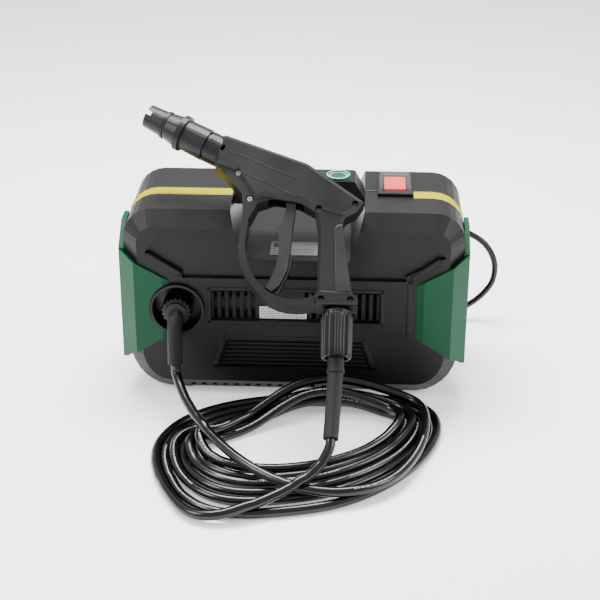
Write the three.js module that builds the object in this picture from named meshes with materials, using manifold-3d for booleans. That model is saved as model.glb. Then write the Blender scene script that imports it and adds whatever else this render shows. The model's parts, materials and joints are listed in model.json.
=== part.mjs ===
// Compact electric pressure washer with its trigger gun leaning on the casing, the coiled
// high-pressure hose on the floor in front and the mains cord behind.
// Millimetres. X to the right, Y to the back, Z up. The floor is Z = 0.
// The casing's halves meet at Y = 0 in the casing's own frame. The finished group is shifted so
// that its origin is the bottom centre of the washer and its gun.

import * as THREE from "three";
import { mergeVertices } from "three/addons/utils/BufferGeometryUtils.js";
import Module from "manifold-3d";

const wasm = await Module();
wasm.setup();

// ---------------------------------------------------------------- driving dimensions

const GAP = 0.3; // clearance between touching pieces
const WALL = 3; // casing wall
const SEAM = GAP / 2; // half the gap between the casing's halves, and the gun's
const CASE = { front: -78, back: 78, shoulder: 62, bevel: 16, top: 222, cornerRadius: 34, side: 187 };
const VALLEY = { floor: 170, left: -55, right: 62, leftTop: -69, rightTop: 77 };
const OUTLET = { x: -128, z: 110, cup: 30, nipple: 8 };
const INLET = { x: -95, z: 72 };
const GLAND = { x: 154, z: 120 };
const PUMP = { y: 4, z: 78 }; // axis of motor and pump
const SWITCH = { left: 91, right: 130, front: -16, back: 48 };
const GUN = { lean: 45, x: 55.6, y: -73.4, z: 234.7, half: 17 };
const BARREL = { x: -136, y: 59, slope: 27.3 }; // where the coupler's axis leaves the gun
const HOSE = 5.25; // hose radius
const CORD = 3.75; // mains cord radius
const COIL = { x: 60, y: 147, inner: 29, outer: 61, height: 32 };
const ORIGIN = { x: 0, y: -78.53 }; // bottom centre of the washer and gun, in the casing's frame

// ---------------------------------------------------------------- materials

const finish = (color, roughness, metalness = 0) =>
  new THREE.MeshStandardMaterial({ color, roughness, metalness });
const MATERIAL = {
  charcoal: finish(0x3a3b3c, 0.6),
  black: finish(0x141415, 0.55),
  gunGrey: finish(0x55575a, 0.55),
  green: finish(0x2a6a4a, 0.5),
  yellow: finish(0xe6dc4a, 0.5),
  red: finish(0xc8202a, 0.35),
  clear: finish(0xdfe6ea, 0.15),
  rubber: finish(0x1b1b1c, 0.85),
  gloss: finish(0x101011, 0.25),
  label: finish(0xd8d8d4, 0.6),
  steel: finish(0xb9bcc0, 0.35, 1),
  brass: finish(0xb8924a, 0.35, 1),
  aluminium: finish(0xa9adb0, 0.45, 1),
  copper: finish(0xa8623a, 0.4, 1),
};

// ---------------------------------------------------------------- shapes

// An outline (a, b) lies across an axis: (y, z) across x, (x, z) across y and (x, y) across z.
// A loft joins outlines with the same number of points, one at each station along the axis.
const ACROSS = {
  x: (a, b, s) => [s, a, b],
  y: (a, b, s) => [a, s, b],
  z: (a, b, s) => [a, b, s],
};

function outlineLoft(given, axis, stations) {
  const flat = (outline) => outline.map(([a, b]) => new THREE.Vector2(a, b));
  const clockwise = THREE.ShapeUtils.isClockWise(flat(given[0]));
  const outlines = given.map((outline) => (clockwise ? [...outline].reverse() : outline));
  const count = outlines[0].length;
  const positions = outlines.flatMap((outline, i) =>
    outline.flatMap(([a, b]) => ACROSS[axis](a, b, stations[i])));
  const index = [];
  for (let i = 0; i < outlines.length - 1; i++) {
    for (let k = 0; k < count; k++) {
      const [a, b] = [i * count + k, i * count + ((k + 1) % count)];
      index.push(a, b, b + count, a, b + count, a + count);
    }
  }
  const far = (outlines.length - 1) * count;
  const cap = (outline) => THREE.ShapeUtils.triangulateShape(flat(outline), []);
  for (const [a, b, c] of cap(outlines[0])) index.push(b, a, c);
  for (const [a, b, c] of cap(outlines.at(-1))) index.push(far + a, far + b, far + c);
  const geometry = new THREE.BufferGeometry();
  geometry.setAttribute("position", new THREE.Float32BufferAttribute(positions, 3));
  geometry.setIndex(index);
  return geometry;
}

const prism = (outline, axis, from, to) => outlineLoft([outline, outline], axis, [from, to]);

function block(x0, x1, y0, y1, z0, z1) {
  const geometry = new THREE.BoxGeometry(x1 - x0, y1 - y0, z1 - z0);
  return geometry.translate((x0 + x1) / 2, (y0 + y1) / 2, (z0 + z1) / 2);
}

const TURN_TO = {
  x: new THREE.Matrix4().makeRotationZ(-Math.PI / 2),
  y: new THREE.Matrix4(),
  z: new THREE.Matrix4().makeRotationX(Math.PI / 2),
};

// A turned piece: profile of [radius, distance along the axis] pairs, about a line through `at`.
function turned(profile, axis, at, sides = 24) {
  const points = profile.map(([radius, along]) => new THREE.Vector2(radius, along));
  return new THREE.LatheGeometry(points, sides).applyMatrix4(TURN_TO[axis]).translate(...at);
}

// A solid cylinder.
const rod = (radius, axis, from, to, at, sides = 20) =>
  turned([[0, from], [radius, from], [radius, to], [0, to]], axis, at, sides);

// A round tube's solid along a curve through the points.
function swept(points, radius, sides, steps) {
  const section = new THREE.Shape(
    Array.from({ length: sides }, (_, i) => {
      const angle = (i / sides) * 2 * Math.PI;
      return new THREE.Vector2(radius * Math.cos(angle), radius * Math.sin(angle));
    }),
  );
  const path = new THREE.CatmullRomCurve3(points.map((p) => new THREE.Vector3(...p)));
  return new THREE.ExtrudeGeometry(section, { steps, bevelEnabled: false, extrudePath: path });
}

// A counter-clockwise outline moved inwards by a distance (outwards when it is negative).
function inset(outline, distance) {
  const normal = (p, q) => {
    const length = Math.hypot(q[0] - p[0], q[1] - p[1]);
    return [(p[1] - q[1]) / length, (q[0] - p[0]) / length];
  };
  return outline.map((p, i) => {
    const before = normal(outline.at(i - 1), p);
    const after = normal(p, outline[(i + 1) % outline.length]);
    const scale = distance / (1 + before[0] * after[0] + before[1] * after[1]);
    return [p[0] + (before[0] + after[0]) * scale, p[1] + (before[1] + after[1]) * scale];
  });
}

function arc(x, y, radius, fromDegrees, toDegrees, steps) {
  return Array.from({ length: steps + 1 }, (_, i) => {
    const angle = ((fromDegrees + ((toDegrees - fromDegrees) * i) / steps) * Math.PI) / 180;
    return [x + radius * Math.cos(angle), y + radius * Math.sin(angle)];
  });
}

const mirrored = (outline) => outline.map(([a, b]) => [-a, b]).reverse();
const rectangle = (a0, a1, b0, b1) => [[a0, b0], [a1, b0], [a1, b1], [a0, b1]];

function smooth(points, count) {
  const curve = new THREE.SplineCurve(points.map(([a, b]) => new THREE.Vector2(a, b)));
  return curve.getPoints(count).map((p) => [p.x, p.y]);
}

// ---------------------------------------------------------------- joining and cutting

function solidOf(geometry) {
  const bare = geometry.clone();
  bare.deleteAttribute("normal");
  bare.deleteAttribute("uv");
  const merged = mergeVertices(bare, 1e-4);
  const place = merged.attributes.position.array;
  const corners = merged.index.array;
  const triangles = [];
  let volume = 0;
  for (let i = 0; i < corners.length; i += 3) {
    const [a, b, c] = [corners[i], corners[i + 1], corners[i + 2]];
    if (a === b || b === c || c === a) continue;
    triangles.push(a, b, c);
    const at = (v) => new THREE.Vector3(place[3 * v], place[3 * v + 1], place[3 * v + 2]);
    volume += at(a).dot(at(b).cross(at(c)));
  }
  if (volume < 0) triangles.reverse();
  const mesh = { numProp: 3, vertProperties: new Float32Array(place), triVerts: new Uint32Array(triangles) };
  return new wasm.Manifold(new wasm.Mesh(mesh));
}

function geometryOf(solid) {
  const mesh = solid.getMesh();
  const geometry = new THREE.BufferGeometry();
  geometry.setAttribute("position", new THREE.BufferAttribute(mesh.vertProperties, 3));
  geometry.setIndex(new THREE.BufferAttribute(mesh.triVerts, 1));
  geometry.computeVertexNormals();
  return geometry;
}

const join = (...parts) => geometryOf(parts.map(solidOf).reduce((whole, part) => whole.add(part)));
const cut = (body, ...tools) =>
  geometryOf(tools.map(solidOf).reduce((rest, tool) => rest.subtract(tool), solidOf(body)));
const common = (a, b) => geometryOf(solidOf(a).intersect(solidOf(b)));

// ---------------------------------------------------------------- the assembly

const washer = new THREE.Group();
const machine = new THREE.Group();
machine.position.set(-ORIGIN.x, -ORIGIN.y, 0);
washer.add(machine);

const gun = new THREE.Group();
gun.position.set(GUN.x, GUN.y, GUN.z);
gun.rotation.x = THREE.MathUtils.degToRad(90 - GUN.lean);
machine.add(gun);

function piece(name, geometry, material, parent = machine) {
  const mesh = new THREE.Mesh(geometryOf(solidOf(geometry)), material);
  mesh.name = name;
  parent.add(mesh);
}

// ---------------------------------------------------------------- casing

const { side, top, cornerRadius, front, back, shoulder, bevel } = CASE;
const lowerCorner = [[151, 5.6], [160, 10.2], [168.5, 17], [175.5, 25.4], [180.8, 36], [184, 48]];
const caseOutline = [
  [-140, 3.5],
  [140, 3.5],
  ...lowerCorner,
  ...arc(side - cornerRadius, top - cornerRadius, cornerRadius, 0, 90, 6),
  ...arc(cornerRadius - side, top - cornerRadius, cornerRadius, 90, 180, 6),
  ...mirrored(lowerCorner),
];

const valleyOutline = (grow) => [
  [VALLEY.left - grow, VALLEY.floor - grow],
  [VALLEY.right + grow, VALLEY.floor - grow],
  [VALLEY.rightTop + grow + 5, top + 18],
  [VALLEY.leftTop - grow - 5, top + 18],
];

function halfShell(sign) {
  const ends = sign < 0 ? [-SEAM, -shoulder, front] : [SEAM, shoulder, back];
  const body = outlineLoft([caseOutline, caseOutline, inset(caseOutline, bevel)], "y", ends);
  const inside = inset(caseOutline, WALL);
  const hollowEnds = [-sign, sign * (shoulder - 1), sign * (back - 3 * WALL)];
  const hollow = outlineLoft([inside, inside, inset(caseOutline, bevel)], "y", hollowEnds);
  const room = cut(hollow, prism(valleyOutline(WALL), "y", -100, 100));
  return cut(body, prism(valleyOutline(0), "y", -100, 100), room);
}

const SCREWS = [[-160, 60], [160, 60], [-158, 185], [158, 185]]; // casing screws, (x, z)
const boss = (x, z, from, to) => rod(7, "y", from, to, [x, 0, z], 12);

// The handle bar bridges the valley, and a tongue at each end enters the casing's humps.
const HANDLE = { front: -25, back: 12, bottom: 214, top: 242.2, tongue: 14 };
const handleOutline = [
  [-66.6, HANDLE.bottom],
  [74.2, HANDLE.bottom],
  [76.4, top + 0.6],
  [66, HANDLE.top - 1],
  [64, HANDLE.top],
  [-60, HANDLE.top],
  [-62, HANDLE.top - 1],
  [-68.9, top + 0.6],
];
const tongues = (grow) =>
  [[-82, -60], [70, 90]].map(([x0, x1]) =>
    block(x0 - grow, x1 + grow, -18 - grow, 6 + grow, HANDLE.bottom - grow, HANDLE.bottom + 4.5 + grow));

// The yellow strips lie in a shallow channel just in front of the seam, round each top corner.
function trimBand(sign, proud, deep, y0, y1, start, end) {
  const corner = (offset) => {
    const radius = cornerRadius + offset;
    return [
      [start, top + offset],
      ...arc(side - cornerRadius, top - cornerRadius, radius, 90, 0, 6),
      [side - 2.2 + offset, end],
    ];
  };
  const band = [...corner(proud), ...corner(-deep).reverse()];
  return prism(sign < 0 ? mirrored(band) : band, "y", y0, y1);
}
const trims = [
  { name: "trim_strip_left", sign: -1, start: 70 },
  { name: "trim_strip_right", sign: 1, start: 131 },
];
const trimChannel = ({ sign, start }) => trimBand(sign, 2, 1 + GAP, -20 - GAP, 0, start - GAP, 105 - GAP);
const trimStrip = ({ sign, start }) => trimBand(sign, 0.4, 1, -20, -1.2, start, 105);

const switchHole = (grow) =>
  block(SWITCH.left + 4 - grow, SWITCH.right - 4 + grow,
    SWITCH.front + 4 - grow, SWITCH.back - 4 + grow, 205, 240);

const recesses = [
  // the upper panel under the humps and the valley
  [[-122, 147], [124, 147], [124, 153], [166, 176], [148, 203], [84, 203], [68, 162], [-60, 162], [-76, 203],
    [-144, 203], [-162, 176], [-122, 153]],
  // the louvre panel and the lower panel
  rectangle(-94, 100, 92, 136),
  [[-89, 37], [92, 37], [80, 77], [-77, 77]],
];
const RECESS_DEPTH = 5;
const louvreSlots = Array.from({ length: 22 }, (_, i) => -86 + 8.4 * i)
  .filter((x) => x < -42 || x > 8)
  .map((x) => block(x - 2, x + 2, front - 5, front + 12, 97, 131));
const lowerVents = Array.from({ length: 14 }, (_, i) => -114 + 12.4 * i)
  .map((x) => block(x - 2.6, x + 2.6, front, -58, 7, 12));

const caseFront = cut(
  join(halfShell(-1), ...SCREWS.map(([x, z]) => boss(x, z, front + 6, -SEAM))),
  ...recesses.map((outline) => prism(outline, "y", front - 5, front + RECESS_DEPTH)),
  ...louvreSlots,
  ...lowerVents,
  ...trims.map(trimChannel),
  ...tongues(GAP),
  switchHole(0),
  rod(OUTLET.cup + GAP, "y", -90, -50, [OUTLET.x, 0, OUTLET.z], 28),
);
piece("case_front", caseFront, MATERIAL.charcoal);

const rearVents = Array.from({ length: 9 }, (_, i) => 60 + 9 * i)
  .map((z) => block(-40, 100, back - 12, back + 5, z - 2, z + 2));
const caseRear = cut(
  join(halfShell(1), ...SCREWS.map(([x, z]) => boss(x, z, SEAM, back - 6))),
  ...rearVents,
  ...SCREWS.map(([x, z]) => rod(4.6, "y", 46, 90, [x, 0, z], 12)),
  ...tongues(GAP),
  switchHole(0),
  rod(9 + GAP, "y", 50, 90, [GLAND.x, 0, GLAND.z]),
  rod(13 + GAP, "y", 50, 90, [INLET.x, 0, INLET.z]),
);
piece("case_rear", caseRear, MATERIAL.charcoal);

trims.forEach((trim) => piece(trim.name, trimStrip(trim), MATERIAL.yellow));

// A foot is a rubber puck under the casing's floor.
[[-120, -48], [120, -48], [-120, 48], [120, 48]].forEach(([x, y], i) =>
  piece(`foot_${i + 1}`,
    turned([[0, 0], [10, 0], [12, 3.2], [0, 3.2]], "z", [x, y, 0], 16), MATERIAL.rubber));

// ---------------------------------------------------------------- handle

// The bar lies across both humps' inner walls and is hollowed for the green insert.
const INSERT = { left: -58, right: 62, front: -22, back: 7, deep: 1.6 };
const handleBar = cut(
  join(prism(handleOutline, "y", HANDLE.front, HANDLE.back), ...tongues(0)),
  block(INSERT.left - GAP, INSERT.right + GAP, INSERT.front - GAP, INSERT.back + GAP,
    HANDLE.top - INSERT.deep, HANDLE.top + 5),
);
piece("handle_bar", handleBar, MATERIAL.charcoal);

const BADGE = { x: 47, y: -7.5, radius: 13 };
const insertBottom = HANDLE.top - INSERT.deep + GAP;
piece("handle_insert",
  cut(
    block(INSERT.left, INSERT.right, INSERT.front, INSERT.back, insertBottom, insertBottom + 1.8),
    rod(BADGE.radius + GAP, "z", 230, 250, [BADGE.x, BADGE.y, 0], 24),
  ),
  MATERIAL.green);
piece("handle_badge",
  turned(
    [[0, 0], [BADGE.radius, 0], [BADGE.radius, 3.2], [BADGE.radius - 1.6, 3.2],
      [BADGE.radius - 2.2, 1.8], [0, 1.8]],
    "z", [BADGE.x, BADGE.y, insertBottom], 24),
  MATERIAL.green);

// ---------------------------------------------------------------- corner guards

// Each guard wraps a front corner: three facets in front and one along the side.
function guard(sign) {
  const outside = [[136, -78.6], [144, -81], [175, -81], [193, -63.5], [193, -8]];
  const inside = [[side + 0.5, -8], [side + 0.5, -62.3], [171.3, -78.3]];
  const plan = [...outside, ...inside];
  const frontView = [[135.5, 79], [175, 54], [193.5, 41], [193.5, 175], [175, 165], [135.5, 143]];
  const sideView = [[-64, 41], [-8, 62], [-8, 196], [-34, 196], [-64, 175]];
  const facing = (outline) => (sign < 0 ? mirrored(outline) : outline);
  const whole = prism(facing(plan), "z", 20, 210);
  const inFront = block(-200, 200, -90, -63.4, 0, 230);
  const beside = block(-200, 200, -63.5, 0, 0, 230);
  const frontPart = common(common(whole, prism(facing(frontView), "y", -90, 0)), inFront);
  const sidePart = common(common(whole, prism(sideView, "x", -200, 200)), beside);
  return cut(join(frontPart, sidePart), rod(OUTLET.cup + 1, "y", -95, -40, [OUTLET.x, 0, OUTLET.z], 28));
}
piece("guard_left", guard(-1), MATERIAL.green);
piece("guard_right", guard(1), MATERIAL.green);

// ---------------------------------------------------------------- labels

const recessFloor = front + RECESS_DEPTH;
piece("rating_label", block(-38, 4, recessFloor - 0.6, recessFloor - 0.2, 98, 119), MATERIAL.label);
piece("valley_label", block(-26, 26, -64, -28, VALLEY.floor + 0.2, VALLEY.floor + 0.6), MATERIAL.label);

// ---------------------------------------------------------------- mains switch

const switchY = (SWITCH.front + SWITCH.back) / 2;
const bezelHole = block(SWITCH.left + 6, SWITCH.right - 6, SWITCH.front + 8, SWITCH.back - 8, 198, 240);
piece("switch_body",
  cut(
    join(
      block(SWITCH.left, SWITCH.right, SWITCH.front, SWITCH.back, top + GAP, top + 3.4),
      block(SWITCH.left + 4.4, SWITCH.right - 4.4, SWITCH.front + 4.4, SWITCH.back - 4.4, 184, top + 1),
    ),
    bezelHole,
  ),
  MATERIAL.black);
// The rocker is a shallow V that turns about the middle of its underside.
const rockerHalf = (SWITCH.back - SWITCH.front) / 2 - 9.5;
const ROCKER_Z = 219;
piece("rocker",
  prism(
    [
      [switchY - rockerHalf, ROCKER_Z + 4.5],
      [switchY - rockerHalf + 3, ROCKER_Z - 3],
      [switchY, ROCKER_Z - 6],
      [switchY + rockerHalf - 3, ROCKER_Z - 3],
      [switchY + rockerHalf, ROCKER_Z + 1],
      [switchY + rockerHalf - 1, ROCKER_Z + 2.6],
      [switchY, ROCKER_Z + 4.5],
      [switchY - rockerHalf + 1, ROCKER_Z + 9],
    ],
    "x", SWITCH.left + 7.2, SWITCH.right - 7.2),
  MATERIAL.red);
// A clear hood keeps splashes off the rocker.
const hood = (grow) => {
  const outline = rectangle(
    SWITCH.left + 2.2 - grow, SWITCH.right - 2.2 + grow, SWITCH.front + 3 - grow, SWITCH.back - 3 + grow);
  const height = top + 12 + grow;
  const levels = [top + 3.7 + 2 * grow, height - 3, height];
  return outlineLoft([outline, outline, inset(outline, 2.4)], "z", levels);
};
piece("switch_hood", cut(hood(0), hood(-1)), MATERIAL.clear);

// ---------------------------------------------------------------- water outlet and inlet

piece("outlet_cup",
  turned(
    [[OUTLET.nipple + GAP, -60], [OUTLET.cup, -60], [OUTLET.cup, -83], [OUTLET.cup - 2.4, -83],
      [OUTLET.cup - 3.6, -62.5], [OUTLET.nipple + GAP, -62.5], [OUTLET.nipple + GAP, -60]],
    "y", [OUTLET.x, 0, OUTLET.z], 28),
  MATERIAL.black);
piece("outlet_nipple",
  turned(
    [[3, -50], [12, -50], [12, -59.7], [OUTLET.nipple, -59.7], [OUTLET.nipple, -82], [3, -82], [3, -50]],
    "y", [OUTLET.x, 0, OUTLET.z], 16),
  MATERIAL.brass);
// The hose's swivel nut is fluted, with a collar that the sleeve comes out of.
const flutedNut = (radius, ribs, depth) =>
  Array.from({ length: ribs * 4 }, (_, i) => {
    const angle = (i / (ribs * 4)) * 2 * Math.PI;
    const r = radius - (i % 4 === 0 || i % 4 === 3 ? depth : 0);
    return [r * Math.cos(angle), r * Math.sin(angle)];
  });
const shifted = (outline, a, b) => outline.map(([p, q]) => [p + a, q + b]);
const outletNutOutline = shifted(flutedNut(14.5, 12, 1.2), OUTLET.x, OUTLET.z);
piece("outlet_nut",
  cut(
    prism(outletNutOutline, "y", -94, -66),
    rod(OUTLET.nipple + GAP, "y", -84, -60, [OUTLET.x, 0, OUTLET.z]),
    rod(6, "y", -100, -60, [OUTLET.x, 0, OUTLET.z], 16),
  ),
  MATERIAL.black);

const outletSleevePath = [
  [OUTLET.x, -94.4, OUTLET.z - 2],
  [OUTLET.x, -98.4, OUTLET.z - 2],
  [OUTLET.x, -108.5, OUTLET.z - 14],
  [OUTLET.x + 0.4, -115, OUTLET.z - 31],
  [OUTLET.x + 1, -119, OUTLET.z - 48],
];
piece("outlet_sleeve", swept(outletSleevePath, 8.3, 16, 10), MATERIAL.rubber);

piece("inlet_connector",
  turned(
    [[4, 58], [17, 58], [17, 61.5], [13, 61.5], [13, 84], [10, 86], [10, 92], [11.5, 93], [11.5, 96],
      [9.5, 98], [9.5, 104], [6.5, 104], [6.5, 66], [4, 66], [4, 58]],
    "y", [INLET.x, 0, INLET.z], 18),
  MATERIAL.black);
piece("inlet_filter",
  turned([[4.5, 66.3], [6.2, 66.3], [6.2, 90], [5, 90], [5, 68], [4.5, 68], [4.5, 66.3]], "y",
    [INLET.x, 0, INLET.z], 12),
  MATERIAL.steel);

// ---------------------------------------------------------------- motor and pump

const axisAt = [0, PUMP.y, PUMP.z];
piece("motor_housing",
  turned([[7, -4], [46, -4], [46, 106], [42, 106], [42, 0], [7, 0], [7, -4]], "x", axisAt, 20),
  MATERIAL.steel);
piece("stator",
  turned([[33, 12], [41.6, 12], [41.6, 92], [33, 92], [33, 12]], "x", axisAt, 20),
  MATERIAL.aluminium);
piece("rotor",
  turned([[0, -44], [5.5, -44], [5.5, 16], [32, 18], [32, 88], [5.5, 90], [5.5, 130], [0, 130]],
    "x", axisAt, 16),
  MATERIAL.copper);
piece("motor_end_plate",
  turned([[6.5, 106.4], [46, 106.4], [46, 110], [6.5, 110], [6.5, 106.4]], "x", axisAt, 20),
  MATERIAL.aluminium);
const blades = Array.from({ length: 8 }, (_, i) =>
  block(116, 126, -1, 1, 8, 40)
    .applyMatrix4(new THREE.Matrix4().makeRotationX((i * Math.PI) / 4))
    .translate(...axisAt));
piece("cooling_fan",
  join(
    turned([[5.8, 114], [42, 114], [42, 117], [10, 117], [10, 127], [5.8, 127], [5.8, 114]], "x", axisAt, 18),
    ...blades,
  ),
  MATERIAL.black);
piece("gear_case",
  turned([[7, -4.4], [42, -4.4], [42, -50], [38, -50], [38, -9], [7, -9], [7, -4.4]], "x", axisAt, 20),
  MATERIAL.aluminium);
// The swash plate is cut on the slant, so that turning it drives the pistons in and out.
piece("swash_plate",
  cut(
    turned([[5.8, -43], [27, -43], [27, -14], [5.8, -14], [5.8, -43]], "x", axisAt, 18),
    prism([[-70, -60], [-30.5, -60], [-37.5, 60], [-70, 60]].map(([a, b]) => [a, b + PUMP.z]), "y", -60, 60),
  ),
  MATERIAL.steel);
const PISTONS = [90, 210, 330].map((degrees) => THREE.MathUtils.degToRad(degrees));
const pistonAt = (angle) => [0, PUMP.y + 18 * Math.cos(angle), PUMP.z + 18 * Math.sin(angle)];
const SWASH_REACH = -36.2; // the pistons end just clear of the swash plate's highest point
const pumpHeadSolid = turned(
  [[0, -50.4], [42, -50.4], [42, -58], [37, -60], [37, -106], [0, -106]], "x", axisAt, 20);
piece("pump_head",
  cut(pumpHeadSolid, ...PISTONS.map((angle) => rod(6.3, "x", -88, -40, pistonAt(angle), 12))),
  MATERIAL.aluminium);
PISTONS.forEach((angle, i) =>
  piece(`piston_${i + 1}`, rod(6, "x", -80, SWASH_REACH, pistonAt(angle), 12), MATERIAL.steel));
piece("unloader_valve",
  cut(
    turned([[0, 100], [10, 100], [10, 124], [7, 126], [7, 138], [9, 138], [9, 144], [0, 144]], "z",
      [-82, PUMP.y, 0], 18),
    turned([[0, -50], [37 + GAP, -50], [37 + GAP, -120], [0, -120]], "x", axisAt, 20),
  ),
  MATERIAL.brass);
piece("pressure_switch", block(-104, -96, PUMP.y - 9, PUMP.y + 9, 117, 137), MATERIAL.black);
piece("inlet_pipe",
  swept([[INLET.x, 41.6, INLET.z], [INLET.x, 50, INLET.z], [INLET.x, 57.6, INLET.z]], 6, 12, 2),
  MATERIAL.rubber);
piece("outlet_pipe",
  swept(
    [[-96, -33.8, 84], [-97, -40, 86], [-112, -41.5, 98], [-126, -41.5, 109], [OUTLET.x, -45, OUTLET.z],
      [OUTLET.x, -49.7, OUTLET.z]],
    5, 10, 10),
  MATERIAL.steel);
[14, 82].forEach((x, i) =>
  piece(`motor_cradle_${i + 1}`,
    cut(block(x, x + 8, -44, 52, 7, 62), rod(46 + GAP, "x", -20, 140, axisAt, 32)),
    MATERIAL.rubber));
piece("capacitor", rod(14, "x", 40, 92, [0, PUMP.y + 2, PUMP.z + 46 + GAP + 14.2], 20), MATERIAL.label);

// ---------------------------------------------------------------- mains cord

piece("cord_gland",
  turned([[0, 64], [12, 64], [12, 68.5], [9, 68.5], [9, 79], [11, 79], [11, 82], [8.5, 83],
    [5.2, 106], [0, 106]], "y",
    [GLAND.x, 0, GLAND.z], 20),
  MATERIAL.rubber);
const cordRoute = [
  [154, 106.4, 120],
  [154, 115, 120],
  [160, 129, 122],
  [179, 138, 121.5],
  [203, 138, 115],
  [226, 136, 101],
  [239, 134, 78],
  [238, 132, 53],
  [225, 131, 33],
  [206, 130, 18],
  [184, 130.5, 8.5],
  [162.5, 138, 4.4],
  [142, 153, 3.9],
  [120.9, 170.6, 3.9],
];
piece("power_cord", swept(cordRoute, CORD, 8, 20), MATERIAL.rubber);
piece("cord_coil",
  turned([[COIL.inner, 0], [COIL.outer, 0], [COIL.outer, COIL.height],
    [COIL.inner, COIL.height], [COIL.inner, 0]], "z",
    [COIL.x, COIL.y, 0], 40),
  MATERIAL.rubber);
// The two-pin plug lies on the floor where the cord leaves the coil's last turn.
const PLUG = { x: 24, y: 205, z: 8.5 };
const plugSection = (halfWidth, halfHeight) =>
  shifted(arc(0, 0, 1, 0, 330, 11).map(([a, b]) => [a * halfWidth, b * halfHeight]), PLUG.y, PLUG.z);
piece("plug",
  join(
    outlineLoft([plugSection(5, 5), plugSection(7, 7), plugSection(13, 8.3), plugSection(17, 8.3)],
      "x", [PLUG.x, PLUG.x - 22, PLUG.x - 32, PLUG.x - 50]),
    ...[-9.5, 9.5].map((offset) => rod(2.4, "x", PLUG.x - 69, PLUG.x - 49, [0, PLUG.y + offset, PLUG.z], 10)),
  ),
  MATERIAL.black);

// ---------------------------------------------------------------- high-pressure hose

piece("hose_outlet_lead",
  swept(
    [[OUTLET.x + 1, -119.2, OUTLET.z - 48.6], [OUTLET.x + 2, -122, 50], [OUTLET.x + 4, -126.6, 35]],
    HOSE, 12, 3),
  MATERIAL.gloss);

// The coil's loop: inner edge, outer edge and height at stations once round, from the rear middle.
const HOSE_STATIONS = [
  { inner: [12, -128], outer: [10, -85], height: 40 },
  { inner: [-22, -152], outer: [-45, -94], height: 38 },
  { inner: [-52, -179], outer: [-94, -122], height: 36 },
  { inner: [-78, -192], outer: [-130, -157], height: 34 },
  { inner: [-88, -201], outer: [-142, -205], height: 34 },
  { inner: [-80, -217], outer: [-136, -262], height: 34 },
  { inner: [-58, -230], outer: [-113, -318], height: 32 },
  { inner: [-28, -235], outer: [-68, -349], height: 32 },
  { inner: [6, -231], outer: [-8, -336], height: 32 },
  { inner: [36, -219], outer: [50, -320], height: 32 },
  { inner: [64, -203], outer: [97, -285], height: 30 },
  { inner: [90, -183], outer: [138, -237], height: 30 },
  { inner: [109, -160], outer: [163, -180], height: 32 },
  { inner: [113, -143], outer: [167, -133], height: 34 },
  { inner: [98, -127], outer: [148, -97], height: 38 },
  { inner: [58, -121], outer: [84, -86], height: 40 },
];
function hoseCoil() {
  const through = (pick) => new THREE.CatmullRomCurve3(HOSE_STATIONS.map(pick), true);
  const inner = through((s) => new THREE.Vector3(...s.inner, s.height));
  const outer = through((s) => new THREE.Vector3(...s.outer, s.height));
  const count = 3 * HOSE_STATIONS.length;
  const positions = [];
  const index = [];
  for (let i = 0; i < count; i++) {
    const a = inner.getPoint(i / count);
    const b = outer.getPoint(i / count);
    const along = (f) => a.clone().lerp(b, f);
    const corners = [[0, 0.2], [0, 0.8], [0.16, 1], [0.84, 1], [1, 0.8], [1, 0.2], [0.93, 0], [0.07, 0]];
    for (const [f, h] of corners) positions.push(along(f).x, along(f).y, h * along(f).z);
    for (let k = 0; k < 8; k++) {
      const [p, q] = [i * 8 + k, i * 8 + ((k + 1) % 8)];
      const [r, s] = [((i + 1) % count) * 8 + k, ((i + 1) % count) * 8 + ((k + 1) % 8)];
      index.push(p, q, s, p, s, r);
    }
  }
  const geometry = new THREE.BufferGeometry();
  geometry.setAttribute("position", new THREE.Float32BufferAttribute(positions, 3));
  geometry.setIndex(index);
  return geometry;
}
piece("hose_coil", hoseCoil(), MATERIAL.gloss);

// ---------------------------------------------------------------- gun, in its own plane

// X along the width, Y up the grip, Z out of the gun's face. The shells meet at Z = 0.
const barrelOutline = [
  [-141, 40], [-118, 32], [-96, -3], [-86, 2], [-66, 0], [-48, -3], [-31, -13], [-2, -21], [13, -12],
  [20, -1], [12, 5], [-41, 42.5], [-130, 74.5], [-134, 73], [-142, 55],
];
const gripOutline = [[-27, -112], [11, -112], [6, -80], [-2, -26], [6, -8], [-30, 0], [-31, -14], [-27, -36]];
const flangeOutline = [[-27, -118], [15.5, -118], [15.5, -111], [10, -105], [-24, -103], [-30, -108]];
const webOutline = [
  [-141, 40], [-126, 25], [-110, 6], [-108, -22], [-101, -22], [-93, -5], [-70, 4], [-100, 40]];
// The guard runs from the web, in front of the trigger, to the grip's flange.
const guardOuter = smooth(
  [[-108, -10], [-110, -36], [-111.5, -58], [-105, -82], [-91.5, -103], [-74, -115],
    [-52, -120.5], [-26, -117.5]], 16);
const guardInner = smooth(
  [[-100.5, -12], [-103.6, -40], [-104, -58], [-97.5, -80], [-84.5, -99], [-67, -109.5],
    [-46, -112.5], [-26, -106]], 16);
const guardBand = [...guardOuter, ...guardInner.reverse()];

const chamfered = (outline, height, chamfer) =>
  outlineLoft([outline, outline, inset(outline, chamfer)], "z", [SEAM, height - chamfer, height]);

const barrelAxis = new THREE.Matrix4()
  .makeRotationZ(THREE.MathUtils.degToRad(-BARREL.slope))
  .setPosition(BARREL.x, BARREL.y, 0);
const onBarrel = (geometry) => geometry.applyMatrix4(barrelAxis);

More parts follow.
